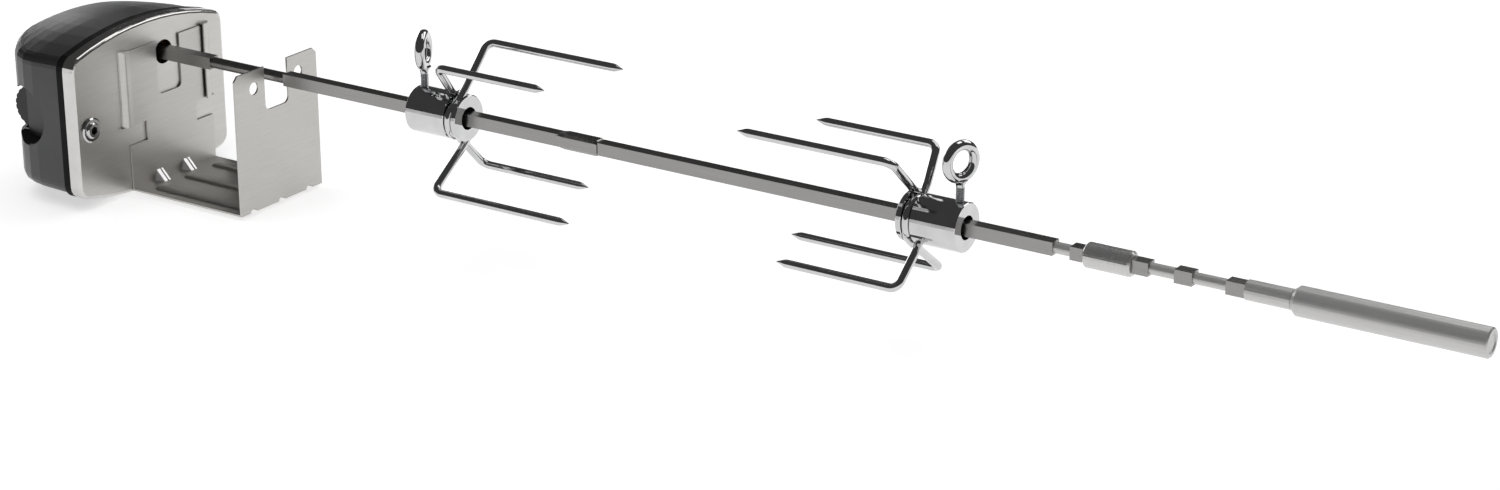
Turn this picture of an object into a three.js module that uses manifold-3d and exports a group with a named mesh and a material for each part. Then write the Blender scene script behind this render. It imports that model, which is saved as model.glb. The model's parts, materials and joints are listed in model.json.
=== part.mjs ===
// Rotisserie spit roaster: a geared motor hooks onto a folded wall bracket and turns a two-piece spit
// that carries two clamped forks. Millimetres, +Z up. The origin lies on the outer face of the
// bracket's front plate, straight below the spit, and +X runs along the spit towards its handle.
import * as THREE from "three";
import { mergeVertices } from "three/addons/utils/BufferGeometryUtils.js";
import { ConvexGeometry } from "three/addons/geometries/ConvexGeometry.js";
import Module from "manifold-3d";

const wasm = await Module();
wasm.setup();

// ---- Driving dimensions ----
const GAP = 0.3; // clearance between neighbouring pieces
const OVERCUT = 1; // how far a cutting solid runs past the face it cuts
const SPIT_Z = 60; // height of the spit's axis

const BRACKET = {
  sheet: 1.5,
  middle: 3, // y of the bracket's centreline
  width: 96,
  floorZ: -43.6,
  frontTop: 70,
  backTop: 71,
  backX: -113.7,
  notchWidth: 27,
  frontNotchZ: 34.3,
  backNotchZ: 27,
  holeSpacing: 52,
  holeZ: 55.5,
  holeRadius: 5,
  waistWidth: 57.6, // the back plate narrows here, below the motor's hooks
  waistLow: -6,
  waistHigh: 10,
  tongueHalf: 45, // the back plate's upper half-width, inside the hooks
};

const MOTOR_X = -114; // front face of the motor's faceplate
const PLATE = {
  thickness: 1.5,
  fold: 10.2, // depth of the edge that is folded back all round
  middle: -16.2,
  half: 85.7,
  top: 30.5,
  bottom: -106.5,
  topRadius: 260,
  bottomRadius: 310,
  corner: 11,
  spitHole: 9.8,
};
const RIM = { front: -10.5, back: -16.7, width: 4.5 };
const COVER = { front: -17, back: -86.6, inset: 1.5, wall: 2.5, corner: 42, fall: 5 };
const SCOOP = { x: -59.6, z: -37, radius: 24, floorY: -82.4 };
const WHEEL = { x: -69.6, z: -37, radius: 17, near: -79.4, far: -71.4 };
const PLATE_BOLT = { y: -86, z: -41.4, radius: 4, flange: 10 };
const COVER_POSTS = [
  [-55, -85],
  [14, -85],
  [-50, 14],
];
const CORD_INLET = { y: 10, z: -60, bore: 3.7 };

const GEARBOX = { frontX: -9, backX: -28, plate: 1.5, postRadius: 3 };
const GEARBOX_POSTS = [
  [24, 16.5],
  [22, -20],
  [-14, -48],
  [-62, -26],
];
const SECOND_SHAFT = [-24, -18];
const FIRST_SHAFT = [-38.4, -37.2];
const ROTOR_SHAFT = [-50.4, -46.2];
const SOCKET = { front: -8.5, back: -26, radius: 9, bore: 10.1 };
const CORE = { front: -41, back: -59, left: -70.4, right: 6, low: -74, high: -18 };
const CORE_SPACERS = [
  [-66.4, -26],
  [-30, -68],
];

const ROD = {
  side: 9.5,
  driveEnd: -138.2,
  joint: 312,
  ferrule: 275,
  ferruleSide: 12,
  studRadius: 3,
  handleStart: 859,
  end: 993,
};
const BUSHING = { start: 709, end: 745, radius: 8.9, bore: 4.5 };
const HANDLE_RADIUS = 10.2;

const COLLAR = { length: 47, radius: 17.7, bore: 8.7, screwX: 6, legX: 39.3, grooveWidth: 6.9 };
const WIRE = { radius: 3.1, wrap: 15.2, bend: 7, point: 9 };
const LONG_TINE = { y: 35.2, z: 49.2, length: 124.3 };
const SHORT_TINE = { y: 25.9, z: -44.9, length: 97.8 };
const EYE = { height: 46.5, outer: 15.5, inner: 8, thickness: 7.5, shank: 3.15, shoulder: 29.5 };

// ---- Materials ----
const FINISH = {
  brushed: { color: 0xb5b3af, roughness: 0.35, metalness: 1 },
  rod: { color: 0xacaba9, roughness: 0.4, metalness: 1 },
  chrome: { color: 0xd8d8d8, roughness: 0.08, metalness: 1 },
  zinc: { color: 0xa9adb0, roughness: 0.45, metalness: 1 },
  black: { color: 0x2b2b2c, roughness: 0.5, metalness: 0 },
  rubber: { color: 0x18181a, roughness: 0.8, metalness: 0 },
  gear: { color: 0x8d9093, roughness: 0.4, metalness: 1 },
  bronze: { color: 0xa87b4a, roughness: 0.4, metalness: 1 },
  lamination: { color: 0x5f6265, roughness: 0.6, metalness: 1 },
  coil: { color: 0xb0562a, roughness: 0.45, metalness: 0.6 },
  nylon: { color: 0xe6e2d8, roughness: 0.6, metalness: 0 },
};

// ---- Solid helpers ----
function solid(geometry) {
  const bare = geometry.index ? geometry.toNonIndexed() : geometry.clone();
  bare.deleteAttribute("normal");
  bare.deleteAttribute("uv");
  const merged = mergeVertices(bare, 1e-4);
  const triVerts = new Uint32Array(merged.index.array);
  const vertProperties = merged.attributes.position.array;
  const made = new wasm.Manifold(new wasm.Mesh({ numProp: 3, vertProperties, triVerts }));
  if (made.volume() > 0) return made;
  for (let i = 0; i < triVerts.length; i += 3) {
    [triVerts[i + 1], triVerts[i + 2]] = [triVerts[i + 2], triVerts[i + 1]];
  }
  return new wasm.Manifold(new wasm.Mesh({ numProp: 3, vertProperties, triVerts }));
}

function join(first, ...others) {
  return others.reduce((sum, other) => sum.add(other), first);
}

function cut(body, ...tools) {
  return tools.reduce((rest, tool) => rest.subtract(tool), body);
}

function mesh(name, body, finish) {
  const { vertProperties, triVerts, numProp } = body.getMesh();
  const geometry = new THREE.BufferGeometry();
  const positions = new Float32Array((vertProperties.length / numProp) * 3);
  for (let i = 0; i < positions.length / 3; i++) {
    for (let k = 0; k < 3; k++) positions[3 * i + k] = vertProperties[numProp * i + k];
  }
  geometry.setAttribute("position", new THREE.BufferAttribute(positions, 3));
  geometry.setIndex(new THREE.BufferAttribute(new Uint32Array(triVerts), 1));
  geometry.computeVertexNormals();
  const made = new THREE.Mesh(geometry, new THREE.MeshStandardMaterial(FINISH[finish]));
  made.name = name;
  return made;
}

// A box between two corners.
function box(x0, x1, y0, y1, z0, z1) {
  const geometry = new THREE.BoxGeometry(x1 - x0, y1 - y0, z1 - z0);
  geometry.translate((x0 + x1) / 2, (y0 + y1) / 2, (z0 + z1) / 2);
  return solid(geometry);
}

// A round bar along X. A side count of 4n puts a vertex row on top.
function barX(radius, x0, x1, y = 0, z = 0, sides = 24) {
  const geometry = new THREE.CylinderGeometry(radius, radius, x1 - x0, sides);
  geometry.rotateZ(-Math.PI / 2);
  geometry.translate((x0 + x1) / 2, y, z);
  return solid(geometry);
}

// A round bar along Y.
function barY(radius, y0, y1, x, z, sides = 32) {
  const geometry = new THREE.CylinderGeometry(radius, radius, y1 - y0, sides);
  geometry.translate(x, (y0 + y1) / 2, z);
  return solid(geometry);
}

// A turned piece on the X axis: each profile point is [x, radius].
function turnedX(profile, sides = 32) {
  const points = profile.map(([x, radius]) => new THREE.Vector2(radius, x));
  const geometry = new THREE.LatheGeometry(points, sides);
  geometry.rotateZ(-Math.PI / 2);
  return solid(geometry);
}

// A flat outline of [y, z] points, or a Shape drawn in y and z, standing between two x planes.
function slabX(outline, x0, x1) {
  const shape = outline.isShape ? outline : shapeOf(outline);
  const geometry = new THREE.ExtrudeGeometry(shape, {
    depth: x1 - x0,
    bevelEnabled: false,
    curveSegments: 12,
  });
  const turn = new THREE.Matrix4().makeBasis(
    new THREE.Vector3(0, 1, 0),
    new THREE.Vector3(0, 0, 1),
    new THREE.Vector3(1, 0, 0),
  );
  geometry.applyMatrix4(turn);
  geometry.translate(x0, 0, 0);
  return solid(geometry);
}

// A flat outline of [x, y] points standing between two z planes.
function slabZ(outline, z0, z1) {
  const geometry = new THREE.ExtrudeGeometry(shapeOf(outline), {
    depth: z1 - z0,
    bevelEnabled: false,
  });
  geometry.translate(0, 0, z0);
  return solid(geometry);
}

function shapeOf(points) {
  return new THREE.Shape(points.map(([a, b]) => new THREE.Vector2(a, b)));
}

function hull(points) {
  return solid(new ConvexGeometry(points.map(([x, y, z]) => new THREE.Vector3(x, y, z))));
}

function arc(centreY, centreZ, radius, from, to, steps) {
  const points = [];
  for (let i = 0; i <= steps; i++) {
    const angle = from + ((to - from) * i) / steps;
    points.push([centreY + radius * Math.cos(angle), centreZ + radius * Math.sin(angle)]);
  }
  return points;
}

// ---- Wall bracket: one folded sheet ----
// A U-notch cut down from the top edge, with rounded lower corners.
function notch(middle, floor, top, x0, x1) {
  const half = BRACKET.notchWidth / 2;
  const round = 5;
  const outline = [
    [middle + half, top + OVERCUT],
    [middle - half, top + OVERCUT],
    ...arc(middle - half + round, floor + round, round, Math.PI, 1.5 * Math.PI, 4),
    ...arc(middle + half - round, floor + round, round, 1.5 * Math.PI, 2 * Math.PI, 4),
  ];
  return slabX(outline, x0, x1);
}

function bracketFront() {
  const { middle, width, sheet, floorZ, frontTop, frontNotchZ } = BRACKET;
  const left = middle - width / 2;
  const clipped = 4;
  const outline = [
    [left, floorZ],
    [left + width, floorZ],
    [left + width, frontTop - clipped],
    [left + width - clipped, frontTop],
    [left + clipped, frontTop],
    [left, frontTop - clipped],
  ];
  const cutters = [-1, 1].map((side) =>
    barX(
      BRACKET.holeRadius,
      -sheet - OVERCUT,
      OVERCUT,
      middle + (side * BRACKET.holeSpacing) / 2,
      BRACKET.holeZ,
    ),
  );
  cutters.push(notch(middle, frontNotchZ, frontTop, -sheet - OVERCUT, OVERCUT));
  return cut(slabX(outline, -sheet, 0), ...cutters);
}

function bracketBack() {
  const { middle, width, sheet, floorZ, backTop, backX, tongueHalf } = BRACKET;
  const left = middle - width / 2;
  const waist = BRACKET.waistWidth / 2;
  const outline = [
    [left, floorZ],
    [left + width, floorZ],
    [left + width, BRACKET.waistLow],
    [middle + waist, BRACKET.waistLow],
    [middle + waist, BRACKET.waistHigh],
    [tongueHalf, BRACKET.waistHigh],
    [tongueHalf, backTop],
    [-tongueHalf, backTop],
    [-tongueHalf, BRACKET.waistHigh],
    [middle - waist, BRACKET.waistHigh],
    [middle - waist, BRACKET.waistLow],
    [left, BRACKET.waistLow],
  ];
  const plate = slabX(outline, backX, backX + sheet);
  return cut(plate, notch(middle, BRACKET.backNotchZ, backTop, backX - OVERCUT, backX + 3));
}

// A long stiffening bead pressed up from the floor, and the channel that it leaves underneath. Both
// run out through the front bend.
function beadShape(y, width, low, high, front) {
  const back = -100;
  const corners = [];
  for (const side of [-1, 1]) {
    corners.push([back, y + side * width, low], [front, y + side * width, low]);
    corners.push([back + 3, y + side * width * 0.8, high - 0.7]);
    corners.push([front, y + side * width * 0.8, high - 0.7]);
    corners.push([back + 6, y + side * width * 0.4, high], [front, y + side * width * 0.4, high]);
  }
  return hull(corners);
}

function floorBead(y) {
  const { floorZ, sheet } = BRACKET;
  return beadShape(y, 5.6, floorZ + 0.4, floorZ + sheet + 2.6, -0.6);
}

function beadChannel(y) {
  const { floorZ } = BRACKET;
  return beadShape(y, 4.3, floorZ - OVERCUT, floorZ + 2.6, OVERCUT);
}

// A pressed dart across the back bend: a slanted web and a thin one beside it.
function bendDart(y) {
  const wall = BRACKET.backX + 0.5;
  const reach = BRACKET.backX + BRACKET.sheet + 9;
  const low = BRACKET.floorZ + 0.5;
  const high = BRACKET.floorZ + BRACKET.sheet + 9.5;
  const web = hull([
    [wall, y - 5.5, low],
    [wall, y + 1.2, low],
    [wall, y - 2.2, high],
    [wall, y + 1.2, high],
    [reach, y - 2.2, low],
    [reach, y + 1.2, low],
  ]);
  const rib = hull([
    [wall, y + 2.6, low],
    [wall, y + 4.6, low],
    [wall, y + 2.6, high],
    [wall, y + 4.6, high],
    [reach, y + 2.6, low],
    [reach, y + 4.6, low],
  ]);
  return [web, rib];
}

function bracket() {
  const { middle, width, sheet, floorZ, backX } = BRACKET;
  const left = middle - width / 2;
  const floor = box(backX, 0, left, left + width, floorZ, floorZ + sheet);
  const rows = [-33, 0, 33].map((offset) => middle + offset);
  const darts = [-16, 15].flatMap(bendDart);
  const sheetMetal = join(bracketFront(), floor, bracketBack(), ...rows.map(floorBead), ...darts);
  return cut(sheetMetal, ...rows.map(beadChannel));
}

// ---- Motor housing ----
// The faceplate's barrel outline: straight sides, bowed top and bottom, round corners. Its points
// run anticlockwise in y and z, and their number never changes, so that outlines can be lofted.
function barrelOutline(inset, sideShrink = 0, topShrink = 0) {
  const half = PLATE.half - inset - sideShrink;
  const corner = Math.max(PLATE.corner - inset, 2);
  const topCentre = PLATE.top - PLATE.topRadius - topShrink;
  const bottomCentre = PLATE.bottom + PLATE.bottomRadius + topShrink;
  const topRadius = PLATE.topRadius - inset;
  const bottomRadius = PLATE.bottomRadius - inset;
  const cornerY = half - corner;
  const topRise = Math.sqrt((topRadius - corner) ** 2 - cornerY ** 2);
  const bottomRise = Math.sqrt((bottomRadius - corner) ** 2 - cornerY ** 2);
  const topAngle = Math.atan2(topRise, cornerY);
  const bottomAngle = Math.atan2(bottomRise, cornerY);
  const right = PLATE.middle + cornerY;
  const left = PLATE.middle - cornerY;
  const points = [
    ...arc(right, bottomCentre - bottomRise, corner, -bottomAngle, 0, 4),
    ...arc(right, topCentre + topRise, corner, 0, topAngle, 4),
    ...arc(PLATE.middle, topCentre, topRadius, topAngle, Math.PI - topAngle, 10).slice(1, -1),
    ...arc(left, topCentre + topRise, corner, Math.PI - topAngle, Math.PI, 4),
    ...arc(left, bottomCentre - bottomRise, corner, Math.PI, Math.PI + bottomAngle, 4),
  ];
  const floorArc = arc(
    PLATE.middle,
    bottomCentre,
    bottomRadius,
    Math.PI + bottomAngle,
    2 * Math.PI - bottomAngle,
    8,
  );
  return [...points, ...floorArc.slice(1, -1)];
}

// A closed solid through a row of [x, outline] stations that run towards -X.
function loft(stations) {
  const count = stations[0][1].length;
  const positions = stations.flatMap(([x, outline]) => outline.flatMap(([y, z]) => [x, y, z]));
  const index = [];
  for (let ring = 0; ring + 1 < stations.length; ring++) {
    for (let i = 0; i < count; i++) {
      const a = ring * count + i;
      const b = ring * count + ((i + 1) % count);
      index.push(a, a + count, b, b, a + count, b + count);
    }
  }
  const last = (stations.length - 1) * count;
  const flat = stations.map(([, outline]) => outline.map(([y, z]) => new THREE.Vector2(y, z)));
  for (const [a, b, c] of THREE.ShapeUtils.triangulateShape(flat[0], [])) index.push(a, b, c);
  for (const [a, b, c] of THREE.ShapeUtils.triangulateShape(flat.at(-1), [])) {
    index.push(last + a, last + c, last + b);
  }
  const geometry = new THREE.BufferGeometry();
  geometry.setAttribute("position", new THREE.Float32BufferAttribute(positions, 3));
  geometry.setIndex(index);
  return solid(geometry);
}

// The cover's body: its sides turn into the back with a large radius seen from above, while the top
// falls a little towards the back.
function coverBody(inset, front) {
  const radius = COVER.corner - inset;
  const centreX = COVER.back + COVER.corner;
  const depth = front - COVER.back;
  const stations = [[front, 0]];
  for (const degrees of [0, 15, 30, 45, 58, 70, 82, 90]) {
    const angle = (degrees * Math.PI) / 180;
    stations.push([centreX - radius * Math.sin(angle), radius * (1 - Math.cos(angle))]);
  }
  return loft(
    stations.map(([x, sideShrink], i) => {
      const fall = COVER.fall * ((front - x) / depth) ** 2;
      const edge = i === stations.length - 1 ? 2 : 0;
      return [x, barrelOutline(COVER.inset + inset, sideShrink, fall + edge)];
    }),
  );
}

// Lanced channels on the faceplate that take the bracket's tongue from above.
function hook(side) {
  const outline = [
    [-0.5, side * 52],
    [1.2, side * 51.4],
    [4, side * 48],
    [4.5, side * 46.8],
    [4.5, side * 42.8],
    [4.2, side * 42.5],
    [3.2, side * 42.5],
    [3.2, side * 45.8],
    [-0.5, side * 49],
  ];
  const y0 = Math.min(side * 42.5, side * 49);
  const y1 = Math.max(side * 42.5, side * 49);
  const channel = slabZ(outline, HOOK.low, HOOK.high);
  const end = box(-0.5, 4, y0, y1, HOOK.high - 1.2, HOOK.high);
  const [f0, f1] = side < 0 ? [-53.5, -45.6] : [45.6, 53.5];
  const foot = box(-0.5, 2.4, f0, f1, HOOK.low - 0.8, HOOK.low + 0.6);
  return join(channel, end, foot);
}
const HOOK = { low: BRACKET.waistHigh - SPIT_Z, high: BRACKET.backTop - SPIT_Z + GAP + 1.2 };

// The plate with its edge rolled back into a shallow pan.
function foldedPan() {
  const { thickness, fold } = PLATE;
  const roll = [
    [0, 2.6],
    [-0.3, 1.5],
    [-0.8, 0.7],
    [-1.6, 0.15],
    [-2.6, 0],
    [-fold, 0],
  ];
  const outer = loft(roll.map(([x, inset]) => [x, barrelOutline(inset)]));
  const hollow = slabX(barrelOutline(2.7), -fold - OVERCUT, -thickness);
  return cut(outer, hollow);
}

function faceplate() {
  const { thickness } = PLATE;
  const hole = (radius, y, z) => barX(radius, -thickness - OVERCUT, OVERCUT, y, z, 32);
  const windows = [-1, 1].map((side) => {
    const [y0, y1] = side < 0 ? [-47.5, -42.5] : [42.5, 47.5];
    return box(-thickness - OVERCUT, OVERCUT, y0, y1, HOOK.low, HOOK.high - 1.2);
  });
  const plate = cut(
    foldedPan(),
    hole(PLATE.spitHole, 0, 0),
    hole(PLATE_BOLT.radius + GAP, PLATE_BOLT.y, PLATE_BOLT.z),
    ...windows,
  );
  return join(plate, hook(-1), hook(1));
}

function rim() {
  return cut(
    slabX(barrelOutline(0), RIM.back, RIM.front),
    slabX(barrelOutline(RIM.width), RIM.back - OVERCUT, RIM.front + OVERCUT),
  );
}

function rearCover() {
  const { x, z, radius, floorY } = SCOOP;
  const beyond = -120;
  const outer = coverBody(0, COVER.front);
  const scoopWall = barY(radius + COVER.wall, beyond, floorY + COVER.wall, x, z, 40);
  const cavity = cut(coverBody(COVER.wall, COVER.front + OVERCUT), scoopWall);
  const boss = barX(7.5, -28, COVER.front, PLATE_BOLT.y, PLATE_BOLT.z, 20);
  const web = box(-26, COVER.front, -99.4, PLATE_BOLT.y, PLATE_BOLT.z - 3, PLATE_BOLT.z + 3);
  const boltHole = barX(PLATE_BOLT.radius + GAP, -24, 0, PLATE_BOLT.y, PLATE_BOLT.z, 20);
  const scoop = barY(radius, beyond, floorY, x, z, 40);
  const slotHalf = WHEEL.radius + 1;
  const [slotNear, slotFar] = [WHEEL.near - 7, WHEEL.far + 1];
  const wheelSlot = box(
    -100,
    WHEEL.x - 1.4,
    slotNear,
    slotFar,
    WHEEL.z - slotHalf,
    WHEEL.z + slotHalf,
  );
  const screwHoles = COVER_POSTS.map(([y, high]) => barX(2.3, -90, -70, y, high, 16));
  const cordHole = barX(6.8, -90, -70, CORD_INLET.y, CORD_INLET.z, 24);
  const shell = join(outer.subtract(cavity), boss, web);
  return cut(shell, boltHole, scoop, wheelSlot, ...screwHoles, cordHole);
}

// A wheel on a Y axis with finger flutes, and its short shaft into the switch.
function switchWheel() {
  const flutes = [];
  for (let i = 0; i < 20; i++) {
    const angle = (i * Math.PI) / 10;
    const x = WHEEL.x + (WHEEL.radius + 0.6) * Math.cos(angle);
    const z = WHEEL.z + (WHEEL.radius + 0.6) * Math.sin(angle);
    flutes.push(barY(1.4, WHEEL.near - OVERCUT, WHEEL.far + OVERCUT, x, z, 8));
  }
  const disc = barY(WHEEL.radius, WHEEL.near, WHEEL.far, WHEEL.x, WHEEL.z, 40);
  const shaft = barY(3, WHEEL.far - OVERCUT, WHEEL.far + 6, WHEEL.x, WHEEL.z, 16);
  return join(cut(disc, ...flutes), shaft);
}

function switchBody() {
  const block = box(WHEEL.x - 12, WHEEL.x + 3.8, WHEEL.far + 0.5, WHEEL.far + 14, WHEEL.z - 10, WHEEL.z + 9);
  const socket = barY(3 + GAP, WHEEL.far, WHEEL.far + 7, WHEEL.x, WHEEL.z, 16);
  return cut(block, socket);
}

function plateBolt() {
  const { y, z, radius, flange } = PLATE_BOLT;
  const profile = [
    [GAP, 0],
    [GAP, flange],
    [1.3, flange],
    [2, flange - 1.2],
    [2, 6.6],
    [3.1, 6.2],
    [3.7, 5.2],
    [3.7, 0],
  ];
  const head = turnedX(profile, 36);
  const shank = barX(radius, -23, 0.8, 0, 0, 20);
  const hexagon = barX(3.6, 0.2, 5, 0, 0, 6);
  return cut(join(head, shank), hexagon).translate(0, y, z);
}

function coverPost([y, z]) {
  const end = COVER.back + COVER.wall + 0.5;
  const shank = barX(3.5, end, -PLATE.thickness - GAP, y, z, 16);
  return cut(shank, barX(1.8, end - 1, end + 14, y, z, 12));
}

function coverScrew([y, z]) {
  const head = barX(4, COVER.back - 2.4, COVER.back - GAP, y, z, 20);
  const slot = box(COVER.back - 3, COVER.back - 1.5, y - 5, y + 5, z - 0.6, z + 0.6);
  const shank = barX(1.5, COVER.back - 1, COVER.back + 15, y, z, 12);
  return join(cut(head, slot), shank);
}

function cordGland() {
  const { y, z, bore } = CORD_INLET;
  const profile = [
    [COVER.back + 6, bore],
    [COVER.back + 6, 6.5],
    [COVER.back - GAP, 6.5],
    [COVER.back - GAP, 9.5],
    [COVER.back - 2.5, 9.5],
    [COVER.back - 9, 6.2],
    [COVER.back - 9, bore],
    [COVER.back + 6, bore],
  ];
  return turnedX(profile, 24).translate(0, y, z);
}

// ---- Gear train ----
// A spur gear's outline with flank angles that leave a little backlash in every mesh.
function gearOutline(teeth, module, centre = [0, 0], phase = 0) {
  const pitch = (teeth * module) / 2;
  const root = pitch - 1.25 * module;
  const tip = pitch + 0.85 * module;
  const step = (2 * Math.PI) / teeth;
  const half = (width, radius) => width / (2 * radius);
  const rootHalf = half(2 * module, root);
  const tipHalf = half(0.66 * module, tip);
  const outline = [];
  for (let i = 0; i < teeth; i++) {
    const middle = phase + i * step;
    const corners = [
      [-rootHalf, root],
      [-tipHalf, tip],
      [tipHalf, tip],
      [rootHalf, root],
    ];
    for (const [offset, radius] of corners) {
      outline.push([
        centre[0] + radius * Math.cos(middle + offset),
        centre[1] + radius * Math.sin(middle + offset),
      ]);
    }
  }
  return outline;
}

// The phase that puts a tooth gap of the driven gear where the driver has a tooth.
function meshPhase(from, to, teeth, filled) {
  const towards = Math.atan2(from[1] - to[1], from[0] - to[0]);
  return filled ? towards : towards + Math.PI / teeth;
}

function driveGear() {
  const { front, back, radius, bore } = SOCKET;
  const phase = meshPhase(SECOND_SHAFT, [0, 0], 48, true);
  const wheel = slabX(gearOutline(48, 1, [0, 0], phase), -18, -12);
  const hub = barX(radius, back, front, 0, 0, 32);
  const journal = barX(4, -31, back + OVERCUT, 0, 0, 20);
  const socket = box(back + 1, front + OVERCUT, -bore / 2, bore / 2, -bore / 2, bore / 2);
  return cut(join(wheel, hub, journal), socket);
}

function outputBushing() {
  const inner = SOCKET.radius + GAP;
  const profile = [
    [-10.7, inner],
    [-10.7, 12],
    [-8.7, 12],
    [-8.7, 14.5],
    [-7, 14.5],
    [-7, inner],
    [-10.7, inner],
  ];
  return turnedX(profile, 32);
}

function secondGear() {
  const [y, z] = SECOND_SHAFT;
  const toDrive = meshPhase([0, 0], SECOND_SHAFT, 12, false);
  const toFirst = meshPhase(FIRST_SHAFT, SECOND_SHAFT, 48, true);
  const pinion = slabX(gearOutline(12, 1, SECOND_SHAFT, toDrive), -18.5, -11.5);
  const wheel = slabX(gearOutline(48, 0.8, SECOND_SHAFT, toFirst), -24, -20);
  const hub = barX(4.2, -26, -18, y, z, 16);
  return cut(join(pinion, wheel, hub), barX(2 + GAP, -30, -8, y, z, 16));
}

function firstGear() {
  const [y, z] = FIRST_SHAFT;
  const toSecond = meshPhase(SECOND_SHAFT, FIRST_SHAFT, 12, false);
  const toRotor = meshPhase(ROTOR_SHAFT, FIRST_SHAFT, 40, true);
  const pinion = slabX(gearOutline(12, 0.8, FIRST_SHAFT, toSecond), -24.5, -19.5);
  const wheel = slabX(gearOutline(40, 0.6, FIRST_SHAFT, toRotor), -16.5, -13);
  const hub = barX(3.5, -20, -12, y, z, 16);
  return cut(join(pinion, wheel, hub), barX(2 + GAP, -30, -8, y, z, 16));
}

function rotor() {
  const [y, z] = ROTOR_SHAFT;
  const phase = meshPhase(FIRST_SHAFT, ROTOR_SHAFT, 10, false);
  const pinion = slabX(gearOutline(10, 0.6, ROTOR_SHAFT, phase), -17.5, -12.5);
  const shaft = barX(1.8, -66, -14, y, z, 12);
  const drum = barX(14, -60, -40, y, z, 32);
  return join(pinion, shaft, drum);
}

function gearPin([y, z]) {
  const front = GEARBOX.frontX - GEARBOX.plate - GAP;
  return barX(2, GEARBOX.backX + GAP, front, y, z, 16);
}

function gearboxPlate(outline, front, holes) {
  const back = front - GEARBOX.plate;
  const cutters = holes.map(([radius, [y, z]]) => barX(radius, back - 1, front + 1, y, z, 24));
  return cut(slabX(outline, back, front), ...cutters);
}

function gearboxFrontPlate() {
  const outline = [
    [29, -26],
    [29, 21],
    [-24, 21],
    [-67, -20],
    [-67, -54],
    [-8, -54],
  ];
  const postHoles = GEARBOX_POSTS.map((at) => [GEARBOX.postRadius + GAP, at]);
  return gearboxPlate(outline, GEARBOX.frontX, [[12 + GAP, [0, 0]], ...postHoles]);
}

function gearboxBackPlate() {
  const outline = [
    [29, -26],
    [29, 21],
    [-24, 21],
    [-78, -20],
    [-78, -74],
    [-8, -74],
  ];
  return gearboxPlate(outline, GEARBOX.backX, [
    [4 + GAP, [0, 0]],
    [1.8 + GAP, ROTOR_SHAFT],
  ]);
}

function gearboxPost([y, z]) {
  return barX(GEARBOX.postRadius, GEARBOX.backX + GAP, -PLATE.thickness - GAP, y, z, 16);
}

// ---- Shaded-pole motor ----
function statorCore() {
  const { front, back, left, right, low, high } = CORE;
  const block = box(back, front, left, right, low, high);
  const bore = barX(14.6, back - 1, front + 1, ...ROTOR_SHAFT, 32);
  const window = box(back - 1, front + 1, -26, -6, -60, -32);
  return cut(block, bore, window);
}

function statorCoil() {
  const { front, back, right } = CORE;
  const outer = box(back - 8, front + 8, -15, 15, -59.5, -32.5);
  const leg = box(back - GAP, front + GAP, -6 - GAP, right + GAP, -62, -30);
  return cut(outer, leg);
}

function rotorBridge() {
  const [y, z] = ROTOR_SHAFT;
  const [x0, x1] = [-65, CORE.back - GAP];
  const frame = box(x0, x1, y - 6, y + 6, CORE.low + 1, CORE.high - 1);
  const space = box(-63, x1 + 1, y - 7, y + 7, CORE.low + 5, CORE.high - 5);
  return cut(frame, space, barX(1.8 + GAP, x0 - 1, x1, y, z, 16));
}

function coreSpacer([y, z]) {
  const front = GEARBOX.backX - GEARBOX.plate - GAP;
  return barX(3.5, CORE.front + GAP, front, y, z, 16);
}

function motorUnit() {
  const group = new THREE.Group();
  group.position.set(MOTOR_X, 0, SPIT_Z);
  group.add(
    mesh("faceplate", faceplate(), "brushed"),
    mesh("housing_rim", rim(), "rubber"),
    mesh("rear_cover", rearCover(), "black"),
    mesh("faceplate_bolt", plateBolt(), "chrome"),
    mesh("switch_wheel", switchWheel(), "rubber"),
    mesh("switch_body", switchBody(), "black"),
    mesh("cord_gland", cordGland(), "rubber"),
    mesh("drive_gear", driveGear(), "gear"),
    mesh("output_bushing", outputBushing(), "bronze"),
    mesh("second_gear", secondGear(), "gear"),
    mesh("first_gear", firstGear(), "gear"),
    mesh("second_gear_pin", gearPin(SECOND_SHAFT), "zinc"),
    mesh("first_gear_pin", gearPin(FIRST_SHAFT), "zinc"),
    mesh("gearbox_front_plate", gearboxFrontPlate(), "zinc"),
    mesh("gearbox_back_plate", gearboxBackPlate(), "zinc"),
    mesh("rotor", rotor(), "lamination"),
    mesh("stator_core", statorCore(), "lamination"),
    mesh("stator_coil", statorCoil(), "coil"),
    mesh("rotor_bridge", rotorBridge(), "zinc"),
  );
  COVER_POSTS.forEach((at, i) => {
    group.add(mesh(`cover_post_${i + 1}`, coverPost(at), "zinc"));
    group.add(mesh(`cover_screw_${i + 1}`, coverScrew(at), "zinc"));
  });
  GEARBOX_POSTS.forEach((at, i) => {
    group.add(mesh(`gearbox_post_${i + 1}`, gearboxPost(at), "zinc"));
  });
  CORE_SPACERS.forEach((at, i) => {
    group.add(mesh(`core_spacer_${i + 1}`, coreSpacer(at), "zinc"));
  });
  return group;
}

// ---- Spit rod ----
function squareBar(x0, x1, side = ROD.side) {
  return box(x0, x1, -side / 2, side / 2, -side / 2, side / 2);
}

// A square section with clipped corners, at one x.
function clippedSquare(x, side, clip) {
  const half = side / 2;
  const points = [];
  for (const a of [-1, 1]) {
    for (const b of [-1, 1]) {
      points.push([x, a * half, b * (half - clip)], [x, a * (half - clip), b * half]);
    }
  }
  return points;
}

// The ferrule that takes the other half's stud: it tapers up from the bar and has clipped edges.
function ferrule() {
  const { ferrule: start, ferruleSide: side, joint } = ROD;
  return hull([
    ...clippedSquare(start, ROD.side, 1),
    ...clippedSquare(start + 7, side, 2.2),
    ...clippedSquare(joint - 1, side, 2.2),
    ...clippedSquare(joint, side - 1.2, 2),
  ]);
}

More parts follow.
